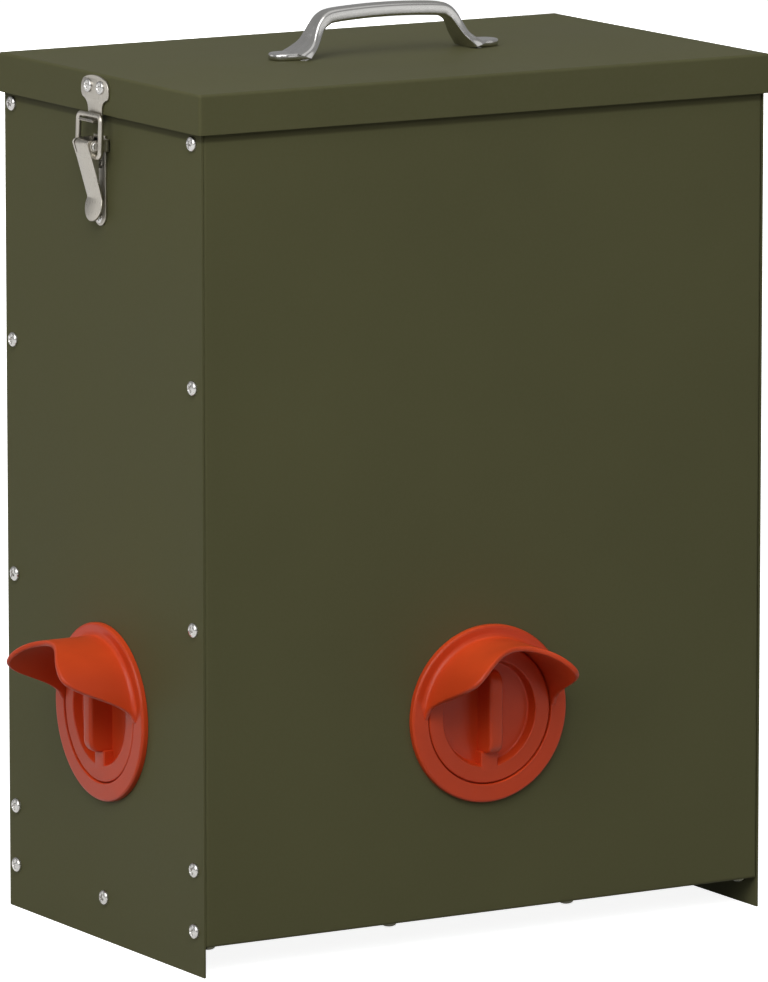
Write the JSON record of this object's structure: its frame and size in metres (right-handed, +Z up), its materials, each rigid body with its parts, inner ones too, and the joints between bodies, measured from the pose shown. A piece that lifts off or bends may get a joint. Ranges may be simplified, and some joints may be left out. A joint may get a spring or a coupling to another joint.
{
  "type": "poultry feeder",
  "caption": "Free-standing sheet-metal poultry feeder: hopper with lift-off lid, toggle latches, carrying handle and hooded feeding ports closed by plugs.",
  "frame": {"origin": "on the ground, under the middle of the feeder", "axes": "+Z up, +X to the right along the wide front wall, +Y from the front wall towards the back wall"},
  "size_m": [0.4056, 0.2806, 0.4636],
  "materials": {
    "olive_paint": "satin olive paint on sheet steel",
    "red_plastic": "satin moulded orange-red plastic",
    "latch_steel": "satin stainless steel",
    "cast_handle": "polished cast metal",
    "zinc_screw": "bright plated screws"
  },
  "bodies": {
    "casing": {"front_panel": "olive_paint", "back_panel": "olive_paint", "left_side_panel": "olive_paint", "right_side_panel": "olive_paint", "floor_panel": "olive_paint", "front_port_hood": "red_plastic", "front_port_lock_ring": "red_plastic", "right_port_hood": "red_plastic", "right_port_lock_ring": "red_plastic", "back_port_hood": "red_plastic", "back_port_lock_ring": "red_plastic", "left_port_hood": "red_plastic", "left_port_lock_ring": "red_plastic", "left_latch_base": "latch_steel", "left_latch_pin": "latch_steel", "right_latch_base": "latch_steel", "right_latch_pin": "latch_steel", "front_base_screw_1": "zinc_screw", "front_base_screw_2": "zinc_screw", "front_base_screw_3": "zinc_screw", "front_base_screw_4": "zinc_screw", "back_base_screw_1": "zinc_screw", "back_base_screw_2": "zinc_screw", "back_base_screw_3": "zinc_screw", "back_base_screw_4": "zinc_screw", "left_row_a_screw_1": "zinc_screw", "left_row_a_screw_2": "zinc_screw", "left_row_a_screw_3": "zinc_screw", "left_row_a_screw_4": "zinc_screw", "left_row_b_screw_1": "zinc_screw", "left_row_b_screw_2": "zinc_screw", "left_row_b_screw_3": "zinc_screw", "left_row_b_screw_4": "zinc_screw", "left_floor_screw_1": "zinc_screw", "left_floor_screw_2": "zinc_screw", "left_floor_screw_3": "zinc_screw", "right_row_a_screw_1": "zinc_screw", "right_row_a_screw_2": "zinc_screw", "right_row_a_screw_3": "zinc_screw", "right_row_a_screw_4": "zinc_screw", "right_row_b_screw_1": "zinc_screw", "right_row_b_screw_2": "zinc_screw", "right_row_b_screw_3": "zinc_screw", "right_row_b_screw_4": "zinc_screw", "right_floor_screw_1": "zinc_screw", "right_floor_screw_2": "zinc_screw", "right_floor_screw_3": "zinc_screw"},
    "lid": {"lid": "olive_paint", "lid_handle": "cast_handle", "left_latch_keeper": "latch_steel", "right_latch_keeper": "latch_steel"},
    "left_lever": {"left_latch_lever": "latch_steel"},
    "left_loop": {"left_latch_loop": "latch_steel"},
    "right_lever": {"right_latch_lever": "latch_steel"},
    "right_loop": {"right_latch_loop": "latch_steel"},
    "front_plug": {"front_port_plug": "red_plastic"},
    "right_plug": {"right_port_plug": "red_plastic"},
    "back_plug": {"back_port_plug": "red_plastic"},
    "left_plug": {"left_port_plug": "red_plastic"}
  },
  "joints": [
    {"name": "lid_lift", "type": "slide", "parent": "casing", "child": "lid", "axis": [0, 0, 1], "range_m": [0, 0.06]},
    {"name": "left_lever_swing", "type": "hinge", "parent": "casing", "child": "left_lever", "pos_m": [-0.1705, 0, 0.4028], "axis": [0, 1, 0], "range_deg": [0, 140]},
    {"name": "left_loop_swing", "type": "hinge", "parent": "left_lever", "child": "left_loop", "pos_m": [-0.16953, 0, 0.39728], "axis": [0, 1, 0], "range_deg": [-170, 0]},
    {"name": "right_lever_swing", "type": "hinge", "parent": "casing", "child": "right_lever", "pos_m": [0.1705, 0, 0.4028], "axis": [0, -1, 0], "range_deg": [0, 140]},
    {"name": "right_loop_swing", "type": "hinge", "parent": "right_lever", "child": "right_loop", "pos_m": [0.16953, 0, 0.39728], "axis": [0, -1, 0], "range_deg": [-170, 0]},
    {"name": "front_plug_pull", "type": "slide", "parent": "casing", "child": "front_plug", "axis": [0, -1, 0], "range_m": [0, 0.055]},
    {"name": "right_plug_pull", "type": "slide", "parent": "casing", "child": "right_plug", "axis": [1, 0, 0], "range_m": [0, 0.055]},
    {"name": "back_plug_pull", "type": "slide", "parent": "casing", "child": "back_plug", "axis": [0, 1, 0], "range_m": [0, 0.055]},
    {"name": "left_plug_pull", "type": "slide", "parent": "casing", "child": "left_plug", "axis": [-1, 0, 0], "range_m": [0, 0.055]}
  ],
  "couplings": [
    {"joint": "left_loop_swing", "follows": "left_lever_swing", "ratio": -1.2},
    {"joint": "right_loop_swing", "follows": "right_lever_swing", "ratio": -1.2}
  ]
}
